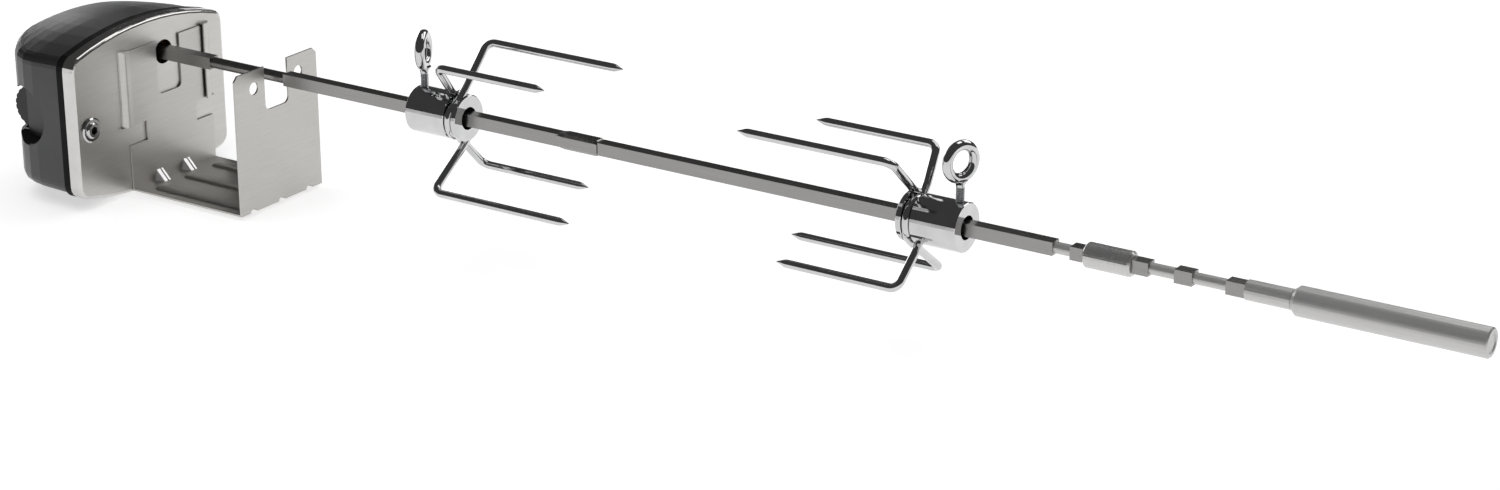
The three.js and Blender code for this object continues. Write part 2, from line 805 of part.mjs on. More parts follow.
function rodDriveHalf() {
  const neck = [-61, 14];
  const pieces = [
    squareBar(ROD.driveEnd, neck[0]),
    barX(4.4, neck[0] - 2, neck[1] + 2),
    squareBar(neck[1], ROD.ferrule + 2),
    ferrule(),
  ];
  const threaded = barX(ROD.studRadius + GAP, 289, ROD.joint + 1);
  return cut(join(...pieces), threaded);
}

function rodHandleHalf() {
  const blocks = [
    [ROD.joint + GAP, 686],
    [699, 709],
    [745, 757],
    [776, 789],
    [813, 827],
  ];
  const pieces = [
    barX(ROD.studRadius, 290, ROD.joint + 4),
    barX(4.1, 684, 830),
    barX(7, 827, ROD.handleStart),
    barX(4, ROD.handleStart - 2, 880),
    ...blocks.map(([x0, x1]) => squareBar(x0, x1)),
  ];
  return join(...pieces);
}

function rodBushing() {
  const { start, end, radius, bore } = BUSHING;
  const [x0, x1, chamfer] = [start + GAP, end - GAP, 1.6];
  const profile = [
    [x0, bore],
    [x0, radius - chamfer],
    [x0 + chamfer, radius],
    [x1 - chamfer, radius],
    [x1, radius - chamfer],
    [x1, bore],
    [x0, bore],
  ];
  return turnedX(profile, 32);
}

function handle() {
  const x0 = ROD.handleStart + GAP;
  const profile = [
    [885, 0],
    [885, 4.3],
    [x0, 4.3],
    [x0, HANDLE_RADIUS - 3],
    [x0 + 3.5, HANDLE_RADIUS],
    [ROD.end - 1, HANDLE_RADIUS],
    [ROD.end, HANDLE_RADIUS - 1],
    [ROD.end, 7],
    [ROD.end - 0.6, 6.6],
    [ROD.end - 0.6, 0],
  ];
  return turnedX(profile, 40);
}

function spit() {
  const group = new THREE.Group();
  group.position.set(0, 0, SPIT_Z);
  group.add(
    mesh("rod_drive_half", rodDriveHalf(), "rod"),
    mesh("rod_handle_half", rodHandleHalf(), "rod"),
    mesh("rod_bushing", rodBushing(), "brushed"),
    mesh("handle", handle(), "rod"),
  );
  return group;
}

// ---- Forks ----
// A wire's centreline as stations that an extrusion visits one by one.
class WirePath extends THREE.Curve {
  constructor(stations) {
    super();
    this.stations = stations;
  }
  getPointAt(u) {
    return this.stations[Math.round(u * (this.stations.length - 1))].clone();
  }
  getTangentAt(u) {
    const last = this.stations.length - 1;
    const i = Math.round(u * last);
    const before = this.stations[Math.max(i - 1, 0)];
    const after = this.stations[Math.min(i + 1, last)];
    return after.clone().sub(before).normalize();
  }
}

// Rounds the corner at b between a and c with the wire's bend radius.
function bend(a, b, c, radius, steps) {
  const into = a.clone().sub(b).normalize();
  const out = c.clone().sub(b).normalize();
  const half = into.angleTo(out) / 2;
  const back = radius / Math.tan(half);
  const centre = into.clone().add(out).normalize().multiplyScalar(radius / Math.sin(half)).add(b);
  const start = b.clone().addScaledVector(into, back).sub(centre);
  const axis = start.clone().cross(b.clone().addScaledVector(out, back).sub(centre)).normalize();
  const points = [];
  for (let i = 0; i <= steps; i++) {
    const turned = start.clone().applyAxisAngle(axis, ((Math.PI - 2 * half) * i) / steps);
    points.push(turned.add(centre));
  }
  return points;
}

// How far the wire steps aside along X at each angle of its wrap, to pass the other wire.
function sidestep(degrees) {
  const ramp = (from, to) => THREE.MathUtils.smoothstep(degrees, from, to);
  return 3.3 * (1 - ramp(110, 165)) - 3.3 * ramp(225, 266);
}

// One bent wire: long tine, leg over the collar's top, half a turn in its groove, leg and short tine.
function wireStations() {
  const at = (x, y, z) => new THREE.Vector3(COLLAR.legX + x, y, z);
  const reach = Math.hypot(LONG_TINE.y, LONG_TINE.z);
  const start = THREE.MathUtils.radToDeg(
    Math.atan2(LONG_TINE.z, LONG_TINE.y) + Math.acos(WIRE.wrap / reach),
  );
  const longCorner = at(0, LONG_TINE.y, LONG_TINE.z);
  const shortCorner = at(0, SHORT_TINE.y, SHORT_TINE.z);
  const longPoint = at(LONG_TINE.length - WIRE.point, LONG_TINE.y, LONG_TINE.z);
  const shortPoint = at(SHORT_TINE.length - WIRE.point, SHORT_TINE.y, SHORT_TINE.z);
  const wrap = [];
  for (const degrees of [start, 140, 150, 160, 175, 190, 205, 220, 230, 240, 250, 258]) {
    const angle = (degrees * Math.PI) / 180;
    wrap.push(at(sidestep(degrees), WIRE.wrap * Math.cos(angle), WIRE.wrap * Math.sin(angle)));
  }
  const overTop = at(3.3, 2.5, 21.9);
  const pastTop = at(3.2, -5.5, 15.2);
  const underCorner = at(-3.3, 0.8, -15.3);
  const underLeg = at(-3.3, 7.2, -22.8);
  return [
    longPoint,
    ...bend(longPoint, longCorner, overTop, WIRE.bend, 5),
    overTop,
    pastTop,
    ...wrap,
    ...bend(wrap.at(-1), underCorner, underLeg, 3, 2),
    underLeg,
    ...bend(underLeg, shortCorner, shortPoint, WIRE.bend, 5),
    shortPoint,
  ];
}

function wireTube(radius) {
  const stations = wireStations();
  const section = new THREE.Shape();
  const sides = 14;
  for (let i = 0; i < sides; i++) {
    const angle = (2 * i * Math.PI) / sides;
    const [a, b] = [radius * Math.cos(angle), radius * Math.sin(angle)];
    if (i === 0) section.moveTo(a, b);
    else section.lineTo(a, b);
  }
  const geometry = new THREE.ExtrudeGeometry(section, {
    steps: stations.length - 1,
    extrudePath: new WirePath(stations),
  });
  return solid(geometry);
}

function tinePoint(tine) {
  const geometry = new THREE.CylinderGeometry(0.35, WIRE.radius, WIRE.point + 0.5, 14);
  geometry.rotateZ(-Math.PI / 2);
  const middle = COLLAR.legX + tine.length - (WIRE.point + 0.5) / 2;
  geometry.translate(middle, tine.y, tine.z);
  return solid(geometry);
}

function forkWire() {
  return join(wireTube(WIRE.radius), tinePoint(LONG_TINE), tinePoint(SHORT_TINE));
}

// A half turn about X swaps the two wires.
function swapped(body) {
  return body.rotate([180, 0, 0]);
}

function collar() {
  const { length, radius, bore, legX, grooveWidth, screwX } = COLLAR;
  const floor = WIRE.wrap - WIRE.radius - GAP;
  const [g0, g1, chamfer] = [legX - grooveWidth / 2, legX + grooveWidth / 2, 0.6];
  const profile = [
    [0, bore],
    [0, radius - chamfer],
    [chamfer, radius],
    [g0 - chamfer, radius],
    [g0, radius - chamfer],
    [g0, floor],
    [g1, floor],
    [g1, radius - chamfer],
    [g1 + chamfer, radius],
    [length - chamfer, radius],
    [length, radius - chamfer],
    [length, bore],
    [0, bore],
  ];
  const groove = wireTube(WIRE.radius + GAP);
  const tapped = new THREE.CylinderGeometry(EYE.shank + GAP, EYE.shank + GAP, 14, 20);
  tapped.rotateX(Math.PI / 2).translate(screwX, 0, 13);
  return cut(turnedX(profile, 48), groove, swapped(groove), solid(tapped));
}

// A thumb screw with a flat ring: the ring's axis is X before it is turned.
function eyebolt(turn) {
  const { height, outer, inner, thickness, shank, shoulder } = EYE;
  const half = thickness / 2;
  const profile = [
    [-half, inner + 1],
    [-half, outer - 2.2],
    [-half + 0.9, outer - 0.6],
    [-1, outer],
    [1, outer],
    [half - 0.9, outer - 0.6],
    [half, outer - 2.2],
    [half, inner + 1],
    [half - 1, inner],
    [-half + 1, inner],
    [-half, inner + 1],
  ];
  const ring = turnedX(profile, 36).translate(0, 0, height);
  const stemProfile = [
    [0, ROD.side / 2 + GAP],
    [shank - 0.8, ROD.side / 2 + GAP],
    [shank, ROD.side / 2 + GAP + 0.8],
    [shank, shoulder - 1],
    [4.2, shoulder],
    [4.2, shoulder + 1.6],
    [5.2, height - outer + 2.6],
    [0, height - outer + 2.6],
  ];
  const stem = new THREE.LatheGeometry(stemProfile.map(([r, z]) => new THREE.Vector2(r, z)), 20);
  stem.rotateX(Math.PI / 2);
  return join(ring, solid(stem)).rotate([0, 0, turn]);
}

// Each fork is built with its tines towards +X from the face at its clamp screw's end.
function fork(number, x, facing, eyeTurn) {
  const group = new THREE.Group();
  group.position.set(x, 0, SPIT_Z);
  group.rotation.z = facing;
  const wire = forkWire();
  const screw = mesh(`eyebolt_${number}`, eyebolt(eyeTurn), "chrome");
  screw.position.x = COLLAR.screwX;
  group.add(
    mesh(`fork_${number}_collar`, collar(), "chrome"),
    mesh(`fork_${number}_wire_a`, wire, "chrome"),
    mesh(`fork_${number}_wire_b`, swapped(wire), "chrome"),
    screw,
  );
  return group;
}

const part = new THREE.Group();
part.add(
  mesh("wall_bracket", bracket(), "brushed"),
  motorUnit(),
  spit(),
  fork(1, 144.2, 0, 24),
  fork(2, 617.9, Math.PI, -21),
);

export default part;
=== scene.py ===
"""Studio scene of a rotisserie spit roaster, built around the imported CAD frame."""
import json
import math

import bmesh
import bpy
from mathutils import Matrix, Vector


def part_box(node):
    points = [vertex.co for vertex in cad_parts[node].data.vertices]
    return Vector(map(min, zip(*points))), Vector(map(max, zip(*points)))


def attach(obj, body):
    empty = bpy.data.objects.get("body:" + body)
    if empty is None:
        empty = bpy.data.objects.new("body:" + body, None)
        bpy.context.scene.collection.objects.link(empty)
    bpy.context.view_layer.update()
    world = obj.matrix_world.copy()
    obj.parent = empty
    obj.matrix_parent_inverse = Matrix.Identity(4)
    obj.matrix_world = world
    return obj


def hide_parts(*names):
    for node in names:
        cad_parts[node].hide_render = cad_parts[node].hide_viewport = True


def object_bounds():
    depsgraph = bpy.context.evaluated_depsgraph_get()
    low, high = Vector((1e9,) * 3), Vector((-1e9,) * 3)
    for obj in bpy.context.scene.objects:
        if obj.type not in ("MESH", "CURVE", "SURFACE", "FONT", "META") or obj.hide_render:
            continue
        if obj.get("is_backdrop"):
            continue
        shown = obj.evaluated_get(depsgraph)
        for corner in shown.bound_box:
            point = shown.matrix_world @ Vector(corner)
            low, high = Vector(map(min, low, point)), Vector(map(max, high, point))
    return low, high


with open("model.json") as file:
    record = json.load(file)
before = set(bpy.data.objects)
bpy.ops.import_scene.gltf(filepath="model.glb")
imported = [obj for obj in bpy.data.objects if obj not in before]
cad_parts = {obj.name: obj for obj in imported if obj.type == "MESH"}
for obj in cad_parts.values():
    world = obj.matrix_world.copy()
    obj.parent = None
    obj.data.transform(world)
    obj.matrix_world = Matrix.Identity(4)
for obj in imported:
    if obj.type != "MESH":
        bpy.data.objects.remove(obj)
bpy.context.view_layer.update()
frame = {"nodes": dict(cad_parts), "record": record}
NODES = frame["nodes"]
MM = 0.001
FACE_GAP = 0.3 * MM  # between the bracket's rear face and the faceplate's front
CAD_EDGE_ANGLE = math.radians(35)
MADE_EDGE_ANGLE = math.radians(40)


# ---- Materials ----
class Surface:
    """A node material with one Principled shader and a few helpers to feed it."""

    def __init__(self, name, color, roughness, metallic=0.0):
        self.material = bpy.data.materials.new(name)
        self.material.use_nodes = True
        self.tree = self.material.node_tree
        self.shader = self.tree.nodes["Principled BSDF"]
        self.shader.inputs["Metallic"].default_value = metallic
        self.shader.inputs["Roughness"].default_value = roughness
        self.shader.inputs["Base Color"].default_value = (*color, 1)
        self.normal = None

    def node(self, kind, **settings):
        made = self.tree.nodes.new(kind)
        for key, value in settings.items():
            if key in made.inputs.keys():
                made.inputs[key].default_value = value
            else:
                setattr(made, key, value)
        return made

    def link(self, output, socket):
        self.tree.links.new(output, socket)

    def noise(self, stretch, scale, detail=3.0, roughness=0.5):
        """Noise over object space, stretched along the axes."""
        place = self.node("ShaderNodeTexCoord")
        mapping = self.node("ShaderNodeMapping")
        mapping.inputs["Scale"].default_value = stretch
        self.link(place.outputs["Object"], mapping.inputs["Vector"])
        noise = self.node("ShaderNodeTexNoise", Scale=scale, Detail=detail, Roughness=roughness)
        self.link(mapping.outputs["Vector"], noise.inputs["Vector"])
        return noise.outputs["Fac"]

    def ramp(self, value, low, high, out_low, out_high):
        made = self.node("ShaderNodeMapRange")
        made.inputs["From Min"].default_value = low
        made.inputs["From Max"].default_value = high
        made.inputs["To Min"].default_value = out_low
        made.inputs["To Max"].default_value = out_high
        self.link(value, made.inputs["Value"])
        return made.outputs["Result"]

    def vary_color(self, value, dark, light, low=0.3, high=0.7):
        mix = self.node("ShaderNodeMix", data_type="RGBA")
        mix.inputs["A"].default_value = (*dark, 1)
        mix.inputs["B"].default_value = (*light, 1)
        self.link(self.ramp(value, low, high, 0, 1), mix.inputs["Factor"])
        self.link(mix.outputs["Result"], self.shader.inputs["Base Color"])

    def vary_roughness(self, value, low_value, high_value, low=0.3, high=0.7):
        self.link(self.ramp(value, low, high, low_value, high_value), self.shader.inputs["Roughness"])

    def bump(self, value, distance, strength=1.0):
        made = self.node("ShaderNodeBump", Distance=distance, Strength=strength)
        self.link(value, made.inputs["Height"])
        if self.normal:
            self.link(self.normal, made.inputs["Normal"])
        self.normal = made.outputs["Normal"]
        self.link(self.normal, self.shader.inputs["Normal"])


def brushed(name, color, roughness, stretch, depth=0.00002, spread=0.1, metallic=1.0):
    """Steel with fine parallel grain; stretch is small along the grain."""
    made = Surface(name, color, roughness, metallic)
    grain = made.noise(stretch, 1.0, 4.0, 0.6)
    cloud = made.noise((1, 1, 1), 18.0, 3.0)
    dark = tuple(c * 0.95 for c in color)
    light = tuple(min(c * 1.04, 1) for c in color)
    made.vary_color(grain, dark, light, 0.3, 0.7)
    made.vary_roughness(cloud, roughness - spread / 2, roughness + spread / 2)
    made.bump(grain, depth, 0.25)
    return made.material


def chrome(name):
    made = Surface(name, (0.55, 0.55, 0.555), 0.05, 1.0)
    smudge = made.noise((1, 1, 1), 70.0, 4.0)
    ripple = made.noise((1, 1, 1), 200.0, 2.0)
    made.vary_color(smudge, (0.54, 0.54, 0.545), (0.61, 0.61, 0.61))
    made.vary_roughness(smudge, 0.04, 0.10, 0.35, 0.75)
    made.bump(ripple, 0.000006, 0.2)
    return made.material


def moulded(name, color, roughness, grain=2600.0, depth=0.00006, gloss=0.5):
    """Moulded or painted skin with a fine texture and faint wear."""
    made = Surface(name, color, roughness)
    made.shader.inputs["Specular IOR Level"].default_value = gloss
    speck = made.noise((1, 1, 1), grain, 2.0)
    cloud = made.noise((1, 1, 1), 22.0, 4.0)
    made.vary_color(cloud, tuple(c * 0.88 for c in color), tuple(c * 1.14 for c in color))
    made.vary_roughness(cloud, roughness - 0.05, roughness + 0.07)
    made.bump(speck, depth, 0.45)
    return made.material


def wound_copper(name):
    made = Surface(name, (0.55, 0.24, 0.09), 0.35, 0.75)
    turns = made.noise((1800, 30, 30), 1.0, 1.0)
    made.vary_color(turns, (0.38, 0.15, 0.05), (0.68, 0.32, 0.13))
    made.bump(turns, 0.0002, 0.8)
    return made.material


def laminated(name):
    made = Surface(name, (0.32, 0.33, 0.35), 0.5, 1.0)
    sheets = made.noise((1600, 6, 6), 1.0, 1.0)
    made.vary_color(sheets, (0.20, 0.20, 0.22), (0.42, 0.43, 0.45))
    made.vary_roughness(sheets, 0.4, 0.65)
    made.bump(sheets, 0.0001, 0.8)
    return made.material


FINE_GRAIN = (40, 40, 900)
MATERIALS = {
    "bracket_steel": brushed("bracket_steel", (0.52, 0.508, 0.488), 0.38, FINE_GRAIN, spread=0.04),
    "faceplate_steel": brushed("faceplate_steel", (0.55, 0.538, 0.518), 0.34, FINE_GRAIN, spread=0.05),
    "rim": moulded("rim_black", (0.006, 0.006, 0.006), 0.55, gloss=0.12),
    "cover": moulded("cover_dark_grey", (0.014, 0.014, 0.015), 0.38, gloss=0.78),
    "chrome": chrome("bright_chrome"),
    "wheel": moulded("wheel_black", (0.008, 0.008, 0.009), 0.45),
    "switch": moulded("switch_black", (0.012, 0.012, 0.013), 0.5),
    "gland": moulded("gland_rubber", (0.012, 0.012, 0.013), 0.7, 1800.0),
    # gear steel painted dark as shade, so the drive hub seen through the spit hole reads dark
    "gear_steel": brushed("gear_steel", (0.14, 0.14, 0.15), 0.42, (300, 300, 300)),
    "bronze": brushed("sintered_bronze", (0.55, 0.34, 0.15), 0.4, (900, 900, 900), 0.00005),
    "core_steel": laminated("laminations"),
    "coil": wound_copper("coil_wire"),
    "rod_steel": brushed("rod_steel", (0.30, 0.296, 0.29), 0.28, (18, 1100, 1100), 0.00001, 0.06),
    "handle_steel": brushed(
        "handle_steel", (0.57, 0.565, 0.56), 0.38, (18, 900, 900), 0.00001, 0.06, metallic=0.62
    ),
    "bushing_steel": brushed(
        "bushing_steel", (0.58, 0.575, 0.57), 0.27, (900, 60, 60), 0.00001, 0.06, metallic=0.8
    ),
    "zinc": brushed("zinc_plate", (0.50, 0.52, 0.53), 0.38, (200, 200, 200)),
}
SLOT_OF = {s["node"]: s["material_slot"] for s in frame["record"]["subparts"]}


def dress(obj, material):
    obj.data.materials.clear()
    obj.data.materials.append(material)


def smooth(obj):
    """Smooth shading that stays sharp over the edges of a CAD piece."""
    obj.data.shade_smooth()
    obj.data.set_sharp_from_angle(angle=CAD_EDGE_ANGLE)


for node_name, node_object in NODES.items():
    dress(node_object, MATERIALS[SLOT_OF[node_name]])
    smooth(node_object)


# ---- Finishes and painted light on parts of a CAD piece ----
DART_BACK = 1.6 * MM
DART_REACH = 10 * MM
DART_FOOT = 1.7 * MM
DART_TOP = 11.5 * MM


def paint_dart_highlights(low):
    """The two pressed darts across the bracket's rear bend are painted near white as a highlight, brighter
    than the sheet.
    """
    bracket = NODES["wall_bracket"]
    # painted highlight: a near-white colour stands in for the light that the darts reflect
    bright = brushed(
        "dart_painted_highlight", (0.95, 0.94, 0.93), 0.22, (300, 300, 300), spread=0.06, metallic=0.4
    )
    bracket.data.materials.append(bright)
    rear = low.x + DART_BACK
    for face in bracket.data.polygons:
        centre = face.center
        raised = low.z + DART_FOOT < centre.z < low.z + DART_TOP
        near_bend = rear < centre.x < rear + DART_REACH
        if raised and near_bend and face.normal.z + abs(face.normal.y) > 0.2:
            face.material_index = 1


RIM_HALF_WIDTH = 62 * MM
RIM_HALF_HEIGHT = 46 * MM
ROLL_START = 0.05 * MM
ROLL_END = 3 * MM
FLANGE_START = 2.5 * MM
SIDEWAYS = 0.02


def outward(face, low, high):
    """Whether a face of the plate's rim looks away from the plate's middle."""
    middle_y, middle_z = (low.y + high.y) / 2, (low.z + high.z) / 2
    away_y, away_z = face.center.y - middle_y, face.center.z - middle_z
    near_edge = abs(away_y) > RIM_HALF_WIDTH or abs(away_z) > RIM_HALF_HEIGHT
    return near_edge and face.normal.y * away_y + face.normal.z * away_z > 0


def polish_plate_edge(front):
    """The faceplate's rolled edge and the flange behind it are polished, and painted a shade lighter than the
    face as a highlight.
    """
    plate = NODES["faceplate"]
    # polished (lower roughness), and a lighter tone than the faceplate steel as a painted highlight
    edge = brushed("edge_polished_painted_lighter", (0.60, 0.59, 0.575), 0.16, (60, 60, 60), 0.00001, 0.04)
    plate.data.materials.append(edge)
    low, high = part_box("faceplate")
    for face in plate.data.polygons:
        x, normal_x = face.center.x, face.normal.x
        on_roll = front - ROLL_END < x < front - ROLL_START and SIDEWAYS < normal_x < 0.99
        on_flange = x < front - FLANGE_START and abs(normal_x) < SIDEWAYS
        if (on_roll or on_flange) and outward(face, low, high):
            face.material_index = 1


SOCKET_REACH = 3.5 * MM
SOCKET_FLOOR = 1 * MM


def brighten_bolt(front):
    """The faceplate's bolt is chromed; its hexagon socket is painted black as shade."""
    bolt = NODES["faceplate_bolt"]
    dress(bolt, MATERIALS["chrome"])
    # painted shade: the socket's walls and floor take the black wheel finish
    bolt.data.materials.append(MATERIALS["wheel"])
    low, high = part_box("faceplate_bolt")
    axis = Vector((0, (low.y + high.y) / 2, (low.z + high.z) / 2))
    for face in bolt.data.polygons:
        offset = face.center - axis
        inside = face.center.x > front and math.hypot(offset.y, offset.z) < SOCKET_REACH
        faces_axis = face.normal.y * offset.y + face.normal.z * offset.z < -0.0005
        on_floor = face.normal.x > 0.9 and face.center.x < front + SOCKET_FLOOR
        if inside and (faces_axis or on_floor):
            face.material_index = 1


SHANK_LENGTH = 33 * MM
SHANK_CORE = 5 * MM
NECKS_LENGTH = 176 * MM
NECK_REACH = 4.4 * MM


def turn_rod_shank():
    """The rod's round necks and shank are turned, so they take the handle's finish."""
    rod = NODES["rod_handle_half"]
    rod.data.materials.append(MATERIALS["handle_steel"])
    low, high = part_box("handle")
    axis_z = (low.z + high.z) / 2
    for face in rod.data.polygons:
        centre = face.center
        reach = math.hypot(centre.y, centre.z - axis_z)
        on_shank = centre.x > low.x - SHANK_LENGTH and reach > SHANK_CORE
        on_neck = centre.x > low.x - NECKS_LENGTH and reach < NECK_REACH
        if abs(face.normal.x) < 0.5 and (on_shank or on_neck):
            face.material_index = 1


bracket_low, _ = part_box("wall_bracket")
plate_front = bracket_low.x - FACE_GAP
paint_dart_highlights(bracket_low)
polish_plate_edge(plate_front)
brighten_bolt(plate_front)
turn_rod_shank()


# ---- Pieces made here ----
def piece(name, mesh, body, slot_name):
    """A new object that rides on a body, in one of the record's finishes."""
    made = bpy.data.objects.new(name, mesh)
    bpy.context.scene.collection.objects.link(made)
    dress(made, MATERIALS[slot_name])
    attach(made, body)
    return made


def grid_mesh(name, rows, closed_rows=False, caps=True):
    """Quads over rows of points that each close on themselves."""
    count = len(rows[0])
    vertices = [point for row in rows for point in row]
    faces = []
    for r in range(len(rows) if closed_rows else len(rows) - 1):
        a, b = r * count, ((r + 1) % len(rows)) * count
        for i in range(count):
            j = (i + 1) % count
            faces.append((a + i, a + j, b + j, b + i))
    if caps and not closed_rows:
        last = (len(rows) - 1) * count
        faces.append(tuple(reversed(range(count))))
        faces.append(tuple(range(last, last + count)))
    mesh = bpy.data.meshes.new(name)
    mesh.from_pydata(vertices, [], faces)
    return mesh


def joined(name, meshes):
    work = bmesh.new()
    for mesh in meshes:
        work.from_mesh(mesh)
        bpy.data.meshes.remove(mesh)
    bmesh.ops.recalc_face_normals(work, faces=work.faces)
    made = bpy.data.meshes.new(name)
    work.to_mesh(made)
    work.free()
    made.shade_smooth()
    made.set_sharp_from_angle(angle=MADE_EDGE_ANGLE)
    return made


def ring_rows(centre, turn, major, minor, around=72, section=24):
    """A torus that stands upright; turn is the azimuth of its axis."""
    axis = Vector((math.cos(turn), math.sin(turn), 0))
    side = Vector((-math.sin(turn), math.cos(turn), 0))
    rows = []
    for i in range(around):
        a = 2 * math.pi * i / around
        out = side * math.cos(a) + Vector((0, 0, 1)) * math.sin(a)
        row = []
        for k in range(section):
            b = 2 * math.pi * k / section
            row.append(centre + out * (major + minor * math.cos(b)) + axis * minor * math.sin(b))
        rows.append(row)
    return rows


def thread_rows(foot, length, radius, depth, pitch, around=28):
    """A screw thread round an upright shank, rising from foot."""
    per_turn = 8
    count = round(length / pitch * per_turn)
    rows = []
    for r in range(count + 1):
        z = length * r / count
        fade = min(1, z / pitch, (length - z) / pitch)
        row = []
        for i in range(around):
            phase = (z / pitch - i / around) % 1
            ridge = 1 - abs(2 * phase - 1)
            out = radius - depth * fade * (1 - ridge)
            a = 2 * math.pi * i / around
            row.append(foot + Vector((out * math.cos(a), out * math.sin(a), z)))
        rows.append(row)
    return rows


def lathe_rows(foot, profile, around=32):
    rows = []
    for radius, z in profile:
        row = []
        for i in range(around):
            a = 2 * math.pi * i / around
            row.append(foot + Vector((radius * math.cos(a), radius * math.sin(a), z)))
        rows.append(row)
    return rows


EYE_OUTER = 15.5 * MM
EYE_TUBE = 3.75 * MM
SHANK = 3.15 * MM
THREAD_DEPTH = 0.5 * MM
THREAD_PITCH = 1.27 * MM
THREADED = 24.2 * MM
NECK_INTO_RING = 2.6 * MM
PLATED_MARGIN = 0.5 * MM


def eyebolt(number, turn_degrees):
    """A clamp screw: a zinc-plated thread, a neck that flares out, and a chromed ring."""
    node = f"eyebolt_{number}"
    low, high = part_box(node)
    x, y = (low.x + high.x) / 2, (low.y + high.y) / 2
    centre = Vector((x, y, high.z - EYE_OUTER))
    foot = Vector((x, y, low.z))
    neck_top = centre.z - foot.z - EYE_OUTER + NECK_INTO_RING
    neck = [
        (SHANK - THREAD_DEPTH, THREADED - 0.2 * MM),
        (SHANK, THREADED),
        (SHANK + 0.1 * MM, THREADED + 0.8 * MM),
        (SHANK + 0.5 * MM, THREADED + 1.6 * MM),
        (SHANK + 1.1 * MM, neck_top - 1.6 * MM),
        (SHANK + 2.0 * MM, neck_top - 0.6 * MM),
        (SHANK + 2.2 * MM, neck_top),
    ]
    ring = ring_rows(centre, math.radians(turn_degrees), EYE_OUTER - EYE_TUBE, EYE_TUBE)
    mesh = joined(
        f"{node}_threaded",
        [
            grid_mesh("ring", ring, closed_rows=True),
            grid_mesh("thread", thread_rows(foot, THREADED, SHANK, THREAD_DEPTH, THREAD_PITCH)),
            grid_mesh("neck", lathe_rows(foot, neck)),
        ],
    )
    made = piece(f"{node}_threaded", mesh, f"screw_{number}", "chrome")
    mesh.materials.append(MATERIALS["zinc"])
    for face in mesh.polygons:
        if face.center.z < foot.z + THREADED - PLATED_MARGIN:
            face.material_index = 1
    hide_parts(node)


POINT_SHARES = [0.12, 0.30, 0.52, 0.76, 0.93]  # of the wire's radius, from a tine's tip inwards
# The radii, bends and corners below are those of the CAD wire that the drawn one replaces.
WIRE_RADIUS = 3.1 * MM
WRAP_RADIUS = 15.2 * MM
BEND_RADIUS = 7 * MM
UNDER_BEND_RADIUS = 3 * MM
POINT_LENGTH = 9 * MM
LONG_TINE = Vector((124.3, 35.2, 49.2)) * MM
SHORT_TINE = Vector((97.8, 25.9, -44.9)) * MM
OVER_TOP = Vector((3.3, 2.5, 21.9)) * MM
PAST_TOP = Vector((3.2, -5.5, 15.2)) * MM
UNDER_CORNER = Vector((-3.3, 0.8, -15.3)) * MM
UNDER_LEG = Vector((-3.3, 7.2, -22.8)) * MM
SIDESTEP = 3.3 * MM
WRAP_END = 258
WRAP_STEPS = 22


def bend(a, b, c, radius, steps):
    """The rounded corner at b between a and c."""
    into, out = (a - b).normalized(), (c - b).normalized()
    half = into.angle(out) / 2
    centre = b + (into + out).normalized() * (radius / math.sin(half))
    start = b + into * (radius / math.tan(half)) - centre
    end = b + out * (radius / math.tan(half)) - centre
    axis = start.cross(end).normalized()
    turn = math.pi - 2 * half
    return [centre + Matrix.Rotation(turn * i / steps, 3, axis) @ start for i in range(steps + 1)]


def smoothstep(value, low, high):
    t = min(max((value - low) / (high - low), 0), 1)
    return t * t * (3 - 2 * t)


def aside(degrees):
    """How far the wire steps along the spit at an angle of its wrap, to pass the other wire."""
    return SIDESTEP * (1 - smoothstep(degrees, 110, 165) - smoothstep(degrees, 225, 266))


def wire_path():
    """A fork wire's centreline: long tine, leg, half a turn in the collar's groove, leg, short tine."""
    long_corner = Vector((0, LONG_TINE.y, LONG_TINE.z))
    short_corner = Vector((0, SHORT_TINE.y, SHORT_TINE.z))
    long_point = Vector((LONG_TINE.x - POINT_LENGTH, LONG_TINE.y, LONG_TINE.z))
    short_point = Vector((SHORT_TINE.x - POINT_LENGTH, SHORT_TINE.y, SHORT_TINE.z))
    reach = math.hypot(LONG_TINE.y, LONG_TINE.z)
    start = math.degrees(math.atan2(LONG_TINE.z, LONG_TINE.y) + math.acos(WRAP_RADIUS / reach))
    wrap = []
    for i in range(WRAP_STEPS + 1):
        degrees = start + (WRAP_END - start) * i / WRAP_STEPS
        a = math.radians(degrees)
        wrap.append(Vector((aside(degrees), WRAP_RADIUS * math.cos(a), WRAP_RADIUS * math.sin(a))))
    return [
        long_point,
        *bend(long_point, long_corner, OVER_TOP, BEND_RADIUS, 10),
        OVER_TOP,
        PAST_TOP,
        *wrap,
        *bend(wrap[-1], UNDER_CORNER, UNDER_LEG, UNDER_BEND_RADIUS, 4),
        UNDER_LEG,
        *bend(UNDER_LEG, short_corner, short_point, BEND_RADIUS, 10),
        short_point,
    ]


def wire_rows(around=28):
    """Rings along the wire, drawn out to a point at both ends."""
    path = wire_path()
    spots = []
    for tip_from, tip_to in ((path[0], LONG_TINE.x), (path[-1], SHORT_TINE.x)):
        ends = []
        for i, share in enumerate(POINT_SHARES):
            x = tip_to + (tip_from.x - tip_to) * i / len(POINT_SHARES)
            ends.append((Vector((x, tip_from.y, tip_from.z)), WIRE_RADIUS * share))
        spots.append(ends)
    stations = [*spots[0], *((point, WIRE_RADIUS) for point in path), *reversed(spots[1])]
    rows = []
    side = None
    for i, (point, radius) in enumerate(stations):
        before = stations[max(i - 1, 0)][0]
        after = stations[min(i + 1, len(stations) - 1)][0]
        along = (after - before).normalized()
        side = Vector((0, 1, 0)) if side is None else side
        side = (side - along * side.dot(along)).normalized()
        other = along.cross(side)
        row = []
        for k in range(around):
            a = 2 * math.pi * k / around
            row.append(point + (side * math.cos(a) + other * math.sin(a)) * radius)
        rows.append(row)
    return rows


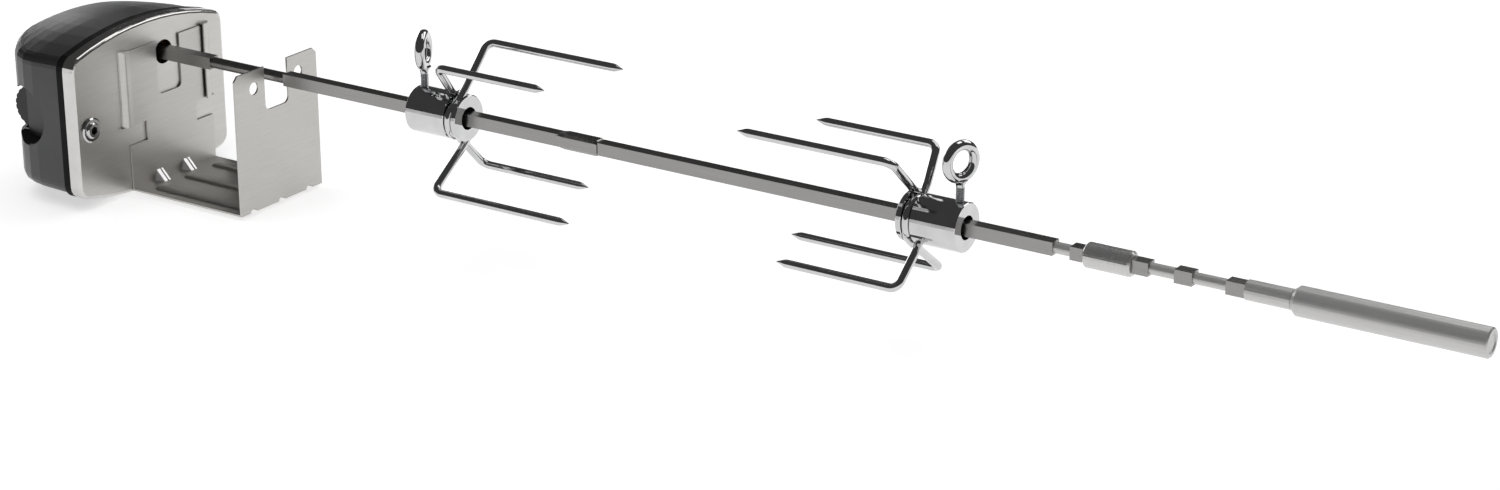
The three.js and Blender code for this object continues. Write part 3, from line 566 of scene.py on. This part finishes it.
def fork_wire(fork_number, letter, origin, facing):
    """facing turns the fork about the upright, and wire b is wire a turned half round the spit."""
    node = f"fork_{fork_number}_wire_{letter}"
    place = Matrix.Translation(origin) @ Matrix.Rotation(facing, 4, "Z")
    if letter == "b":
        place = place @ Matrix.Rotation(math.pi, 4, "X")
    mesh = joined(f"{node}_drawn", [grid_mesh(node, wire_rows())])
    mesh.transform(place)
    made = piece(f"{node}_drawn", mesh, f"fork_{fork_number}", "chrome")
    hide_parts(node)


def weld(name, centre, size, body):
    """A small lumpy weld bead where two wires cross."""
    work = bmesh.new()
    bmesh.ops.create_icosphere(work, subdivisions=3, radius=1.0)
    for vertex in work.verts:
        p = vertex.co.copy()
        lump = 1 + 0.10 * math.sin(5 * p.x + 1.3) * math.cos(4 * p.y) + 0.06 * math.sin(7 * p.z)
        vertex.co = centre + Vector((p.x * size[0], p.y * size[1], p.z * size[2])) * lump
    mesh = bpy.data.meshes.new(name)
    work.to_mesh(mesh)
    work.free()
    mesh.shade_smooth()
    piece(name, mesh, body, "chrome")


GROOVE_FROM_FACE = 39.3 * MM
WELD_HEIGHT = 18.6 * MM
WELD_SIZE = (3.6 * MM, 2.6 * MM, 2.4 * MM)


def fork(fork_number, eye_turn, facing):
    """One fork's screw, wires and welds; facing is the way that its tines point along X."""
    eyebolt(fork_number, eye_turn)
    low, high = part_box(f"fork_{fork_number}_collar")
    axis_z = (low.z + high.z) / 2
    start_x = low.x if facing == 1 else high.x
    groove_x = start_x + facing * GROOVE_FROM_FACE
    leg_plane = Vector((groove_x, 0, axis_z))
    for letter in "ab":
        fork_wire(fork_number, letter, leg_plane, 0 if facing == 1 else math.pi)
    for place, sign in (("top", 1), ("bottom", -1)):
        spot = Vector((groove_x, 0, axis_z + sign * WELD_HEIGHT))
        weld(f"fork_{fork_number}_weld_{place}", spot, WELD_SIZE, f"fork_{fork_number}")


fork(1, eye_turn=24, facing=1)
fork(2, eye_turn=-21, facing=-1)


# ---- Camera, floor and light ----
FLOOR_HALF = 12
FLOOR_DROP = 0.0005
FLOOR_GLOW = 0.58
WALL_RADIUS = 11
WALL_HEIGHT = 12
WALL_SIDES = 48
WALL_GLOW = 0.97
WORLD_LIGHT = 0.06
SUN_POWER = 1.45
SUN_SPREAD = math.radians(75)
SUN_TURN = (math.radians(8), math.radians(-6), 0)
CAMERA_PLACE = (1.650, -1.845, 0.845)
CAMERA_RIGHT = (0.8366, 0.5479, 0)
CAMERA_FORWARD = (-0.5125, 0.7825, -0.3537)
CAMERA_LENS = 79.5
CAMERA_SENSOR = 36
CAMERA_REACH = 60


def glowing(name, color, roughness, strength):
    """A matte surface that gives off white light."""
    made = Surface(name, color, roughness)
    made.shader.inputs["Specular IOR Level"].default_value = 0.0
    made.shader.inputs["Emission Color"].default_value = (1, 1, 1, 1)
    made.shader.inputs["Emission Strength"].default_value = strength
    return made.material


def pale_floor(floor_z):
    half = FLOOR_HALF
    mesh = bpy.data.meshes.new("floor")
    corners = [(-half, -half, floor_z), (half, -half, floor_z), (half, half, floor_z), (-half, half, floor_z)]
    mesh.from_pydata(corners, [], [(0, 1, 2, 3)])
    floor = bpy.data.objects.new("floor", mesh)
    bpy.context.scene.collection.objects.link(floor)
    dress(floor, glowing("floor_pale", (0.8, 0.8, 0.8), 0.9, FLOOR_GLOW))
    floor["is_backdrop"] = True


def backdrop(floor_z):
    """A pale wall round the floor, which only the camera sees, for views from low down."""
    rows = []
    for z in (floor_z, floor_z + WALL_HEIGHT):
        turns = [2 * math.pi * i / WALL_SIDES for i in range(WALL_SIDES)]
        rows.append([Vector((WALL_RADIUS * math.cos(a), WALL_RADIUS * math.sin(a), z)) for a in turns])
    wall = bpy.data.objects.new("backdrop", grid_mesh("backdrop", rows, caps=False))
    bpy.context.scene.collection.objects.link(wall)
    dress(wall, glowing("backdrop_pale", (0, 0, 0), 1.0, WALL_GLOW))
    wall.visible_diffuse = False
    wall.visible_glossy = False
    wall.visible_transmission = False
    wall.visible_shadow = False
    wall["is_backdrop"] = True


def dim_world():
    world = bpy.data.worlds.new("studio")
    bpy.context.scene.world = world
    world.use_nodes = True
    background = world.node_tree.nodes["Background"]
    background.inputs["Color"].default_value = (1.0, 1.0, 1.0, 1)
    background.inputs["Strength"].default_value = WORLD_LIGHT


def overhead_sun():
    """A soft light from above that makes the shadows and stays out of the reflections."""
    sun = bpy.data.lights.new("overhead", "SUN")
    sun.energy = SUN_POWER
    sun.angle = SUN_SPREAD
    lamp = bpy.data.objects.new("overhead", sun)
    lamp.rotation_euler = SUN_TURN
    lamp.visible_glossy = False
    bpy.context.scene.collection.objects.link(lamp)


def softbox(name, middle, away, size, watts, lights_matte):
    """A panel that faces the object; one that doesn't light matte surfaces only adds highlights."""
    panel = bpy.data.lights.new(name, "AREA")
    panel.shape = "RECTANGLE"
    panel.size, panel.size_y = size
    panel.energy = watts
    made = bpy.data.objects.new(name, panel)
    made.location = middle + away
    made.rotation_euler = (-away).to_track_quat("-Z", "Y").to_euler()
    made.visible_diffuse = lights_matte
    bpy.context.scene.collection.objects.link(made)


def studio():
    low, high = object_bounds()
    floor_z = low.z - FLOOR_DROP
    pale_floor(floor_z)
    backdrop(floor_z)
    dim_world()
    overhead_sun()
    middle = (low + high) / 2
    softbox("softbox_back", middle, Vector((0.22, 0.80, 0.58)) * 2.6, (2.2, 1.2), 15, True)
    softbox("softbox_top", middle, Vector((0.12, 0.36, 0.93)) * 2.3, (1.5, 0.7), 6, False)
    softbox("softbox_left", middle, Vector((-0.90, 0.40, 0.10)) * 2.6, (0.9, 0.7), 7, False)


def camera():
    right = Vector(CAMERA_RIGHT).normalized()
    forward = Vector(CAMERA_FORWARD).normalized()
    right = (right - forward * right.dot(forward)).normalized()
    up = right.cross(forward)
    data = bpy.data.cameras.new("camera")
    data.sensor_width = CAMERA_SENSOR
    data.lens = CAMERA_LENS
    data.clip_end = CAMERA_REACH
    made = bpy.data.objects.new("camera", data)
    basis = Matrix((right, up, -forward)).transposed().to_4x4()
    made.matrix_world = Matrix.Translation(CAMERA_PLACE) @ basis
    bpy.context.scene.collection.objects.link(made)
    bpy.context.scene.camera = made


camera()
studio()
bpy.context.scene.view_settings.view_transform = "Standard"
